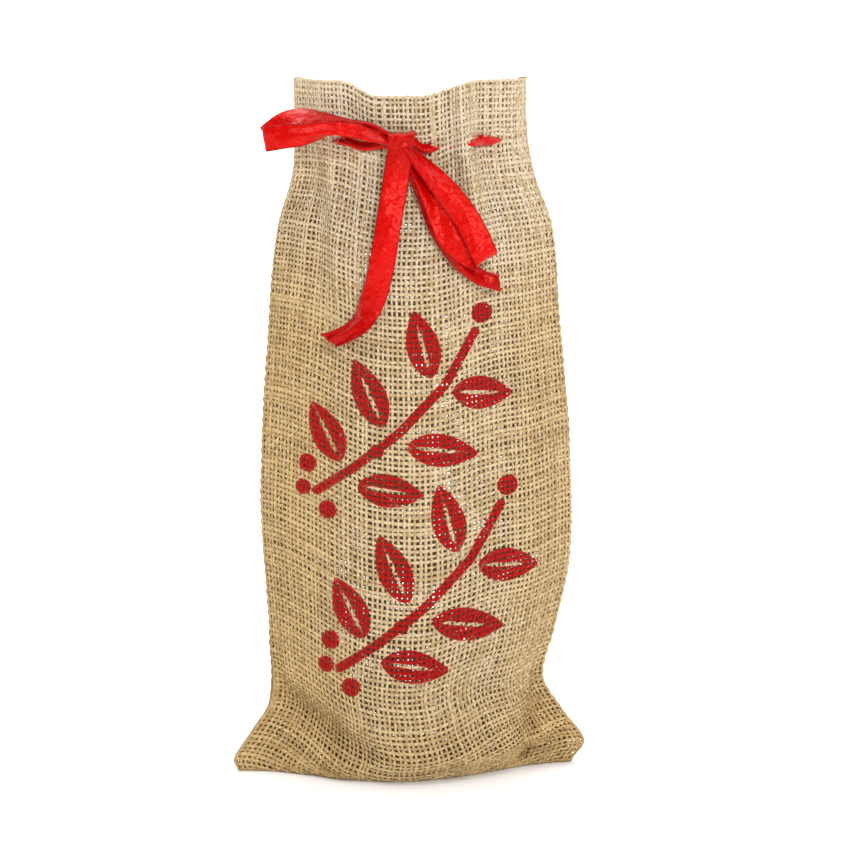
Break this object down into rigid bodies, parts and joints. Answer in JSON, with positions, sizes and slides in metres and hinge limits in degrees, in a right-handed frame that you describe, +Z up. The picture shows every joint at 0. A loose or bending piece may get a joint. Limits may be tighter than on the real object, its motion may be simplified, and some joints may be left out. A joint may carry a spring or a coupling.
{
  "type": "wine gift bag",
  "caption": "Flat-sewn open-weave jute pouch for a wine bottle, standing open, with a satin drawstring tied in a bow at its neck.",
  "frame": {"origin": "on the underside of the bag, in the middle of the base between its two corners", "axes": "+Z up through the mouth, +X towards the right-hand seam as seen from the bow side, front and bow towards -Y"},
  "size_m": [0.1531, 0.0881, 0.3052],
  "materials": {
    "jute": "open plain weave of natural jute yarn, dull, with loose fibres",
    "thread": "matt sewing thread",
    "satin": "glossy woven satin ribbon"
  },
  "bodies": {
    "bag": {"front_panel": "jute", "back_panel": "jute", "front_hem": "jute", "back_hem": "jute", "front_hem_stitching": "thread", "back_hem_stitching": "thread", "left_seam_margin": "jute", "right_seam_margin": "jute", "bottom_seam_margin": "jute", "left_seam_stitching": "thread", "right_seam_stitching": "thread", "bottom_seam_stitching": "thread", "drawstring": "satin"},
    "bow": {"bow_knot": "satin", "left_lead": "satin", "right_lead": "satin"},
    "left_loop": {"left_loop": "satin"},
    "right_loop": {"right_loop": "satin"},
    "long_tail": {"long_tail": "satin"},
    "short_tail": {"short_tail": "satin"}
  },
  "joints": [
    {"name": "bow_draw", "type": "slide", "parent": "bag", "child": "bow", "axis": [0, -1, 0], "range_m": [0, 0.015]},
    {"name": "left_loop_swing", "type": "hinge", "parent": "bow", "child": "left_loop", "pos_m": [-0.0106, -0.035, 0.2804], "axis": [0, 0, 1], "range_deg": [-2, 40]},
    {"name": "right_loop_lift", "type": "hinge", "parent": "bow", "child": "right_loop", "pos_m": [0.0044, -0.0378, 0.2722], "axis": [-1, 0, 0], "range_deg": [0, 80]},
    {"name": "long_tail_lift", "type": "hinge", "parent": "bow", "child": "long_tail", "pos_m": [-0.0039, -0.0354, 0.2822], "axis": [-1, 0, 0], "range_deg": [0, 85]},
    {"name": "short_tail_swing", "type": "hinge", "parent": "bow", "child": "short_tail", "pos_m": [-0.0006, -0.0326, 0.2712], "axis": [0, -1, 0], "range_deg": [-6, 25]}
  ]
}
